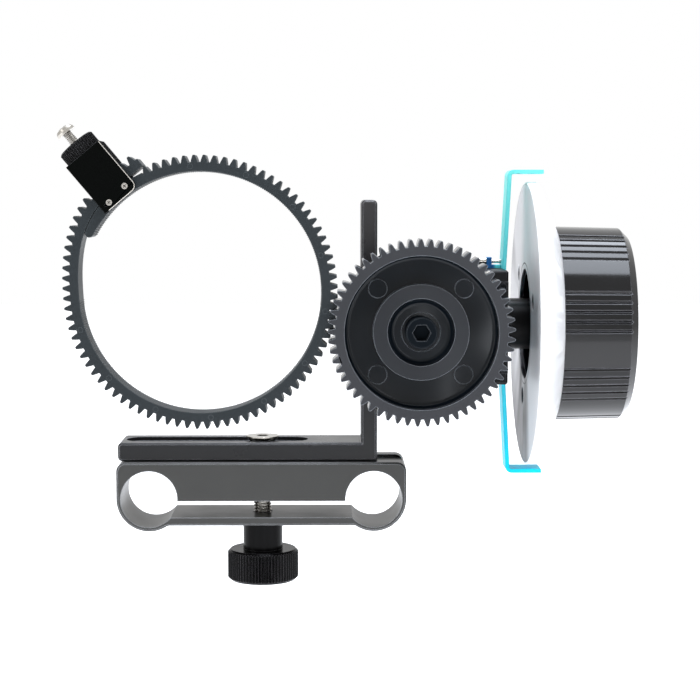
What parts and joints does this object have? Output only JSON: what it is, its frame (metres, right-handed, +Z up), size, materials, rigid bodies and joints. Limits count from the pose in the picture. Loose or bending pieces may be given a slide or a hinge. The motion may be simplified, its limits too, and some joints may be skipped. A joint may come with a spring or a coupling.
{
  "type": "follow focus unit",
  "caption": "Rod-mounted follow focus: twin-rod clamp, slotted angle bracket, right-angle gearbox with handwheel and marking disc, drive gear and clip-on toothed lens ring.",
  "frame": {"origin": "midway between the two rod axes, at half the clamp's depth", "axes": "+X across the rods towards the handwheel, +Y along the rods away from the drive gear's side, +Z up"},
  "size_m": [0.1478, 0.076, 0.1221],
  "materials": {
    "black_anodised": "black anodised, fine satin",
    "grey_anodised": "dark grey anodised, satin",
    "black_housing": "black anodised, satin",
    "black_block": "black, glossy",
    "black_nut": "black anodised, knurled",
    "black_knob": "black anodised, satin, grooved",
    "silver_plate": "turned and polished",
    "white_plastic": "white, smooth",
    "blue_anodised": "bright blue anodised",
    "nickel_steel": "nickel plated",
    "black_steel": "black oxide",
    "steel": "machined",
    "bronze": "sintered bearing bronze",
    "gear_plastic": "moulded acetal, semi-gloss",
    "band_plastic": "moulded flexible plastic, semi-gloss"
  },
  "bodies": {
    "rod_clamp": {"clamp_block": "black_anodised", "clamp_screw": "nickel_steel"},
    "nut_washer": {"nut_washer": "nickel_steel"},
    "thumb_nut": {"thumb_nut": "black_nut"},
    "bracket": {"angle_bracket": "grey_anodised"},
    "gearbox": {"gearbox_housing": "black_housing", "gearbox_cover": "black_housing", "gearbox_cover_screws": "black_steel", "wheel_sleeve": "black_housing", "wheel_sleeve_bushes": "bronze", "gearbox_cover_bush": "bronze", "index_plate": "blue_anodised", "index_plate_screws": "nickel_steel", "index_ear_screw": "nickel_steel"},
    "lock_washer": {"lock_washer": "nickel_steel"},
    "lock_screw": {"lock_screw": "black_nut"},
    "handwheel": {"wheel_mitre_gear": "steel", "wheel_set_screw": "black_steel", "wheel_shaft": "steel", "wheel_thrust_washer": "bronze", "disc_back_plate": "silver_plate", "disc_screws": "black_steel", "marking_disc": "white_plastic", "hand_knob": "black_knob", "hand_knob_screw": "black_steel"},
    "drive_gear": {"drive_gear": "gear_plastic", "drive_mitre_gear": "steel", "drive_set_screw": "black_steel", "drive_shaft": "steel", "drive_shaft_spacer": "steel", "drive_gear_collar": "steel", "drive_gear_screw": "black_steel"},
    "lens_ring": {"lens_gear_band": "band_plastic", "ring_block": "black_block", "ring_block_cover": "black_block", "ring_cover_screws": "nickel_steel"},
    "ring_foot": {"ring_pressure_foot": "steel"},
    "ring_screw": {"ring_screw": "nickel_steel"},
    "ring_nut": {"ring_lock_nut": "black_nut"}
  },
  "joints": [
    {"name": "bracket_slide", "type": "slide", "parent": "rod_clamp", "child": "bracket", "axis": [1, 0, 0], "range_m": [-0.0077, 0.0321]},
    {"name": "nut_washer_travel", "type": "slide", "parent": "rod_clamp", "child": "nut_washer", "axis": [0, 0, 1], "range_m": [-0.0024, 0]},
    {"name": "thumb_nut_turn", "type": "hinge", "parent": "nut_washer", "child": "thumb_nut", "pos_m": [0, 0, -0.015], "axis": [0, 0, 1], "range_deg": [-1080.05, 0]},
    {"name": "gearbox_slide", "type": "slide", "parent": "bracket", "child": "gearbox", "axis": [0, 0, 1], "range_m": [-0.012, 0.02]},
    {"name": "lock_washer_travel", "type": "slide", "parent": "gearbox", "child": "lock_washer", "axis": [1, 0, 0], "range_m": [-0.0016, 0]},
    {"name": "lock_screw_turn", "type": "hinge", "parent": "lock_washer", "child": "lock_screw", "pos_m": [0.022, 0, 0.0463], "axis": [1, 0, 0], "range_deg": [-720.05, 0]},
    {"name": "handwheel_turn", "type": "hinge", "parent": "gearbox", "child": "handwheel", "pos_m": [0.07085, 0, 0.0463], "axis": [1, 0, 0], "range_deg": [-125.26, 221.05]},
    {"name": "drive_gear_turn", "type": "hinge", "parent": "gearbox", "child": "drive_gear", "pos_m": [0.0414, -0.03, 0.0463], "axis": [0, 1, 0], "range_deg": [-125.76, 221.55]},
    {"name": "lens_ring_turn", "type": "hinge", "parent": "gearbox", "child": "lens_ring", "pos_m": [-0.01407, -0.0298, 0.05648], "axis": [0, 1, 0], "range_deg": [-150.5, 85.5]},
    {"name": "ring_foot_travel", "type": "slide", "parent": "lens_ring", "child": "ring_foot", "axis": [-0.6441, 0, 0.7649], "range_m": [0, 0.002]},
    {"name": "ring_screw_turn", "type": "hinge", "parent": "ring_foot", "child": "ring_screw", "pos_m": [-0.04312, -0.0298, 0.09098], "axis": [-0.6441, 0, 0.7649], "range_deg": [0, 1600.05]},
    {"name": "ring_nut_turn", "type": "hinge", "parent": "lens_ring", "child": "ring_nut", "pos_m": [-0.04312, -0.0298, 0.09098], "axis": [-0.6441, 0, 0.7649], "range_deg": [-360, 0]}
  ],
  "couplings": [
    {"joint": "thumb_nut_turn", "follows": "nut_washer_travel", "rad_per_m": 7854},
    {"joint": "lock_screw_turn", "follows": "lock_washer_travel", "rad_per_m": 7854},
    {"joint": "drive_gear_turn", "follows": "handwheel_turn", "ratio": 1},
    {"joint": "lens_ring_turn", "follows": "handwheel_turn", "ratio": -0.67857},
    {"joint": "ring_screw_turn", "follows": "ring_foot_travel", "rad_per_m": 13963}
  ]
}
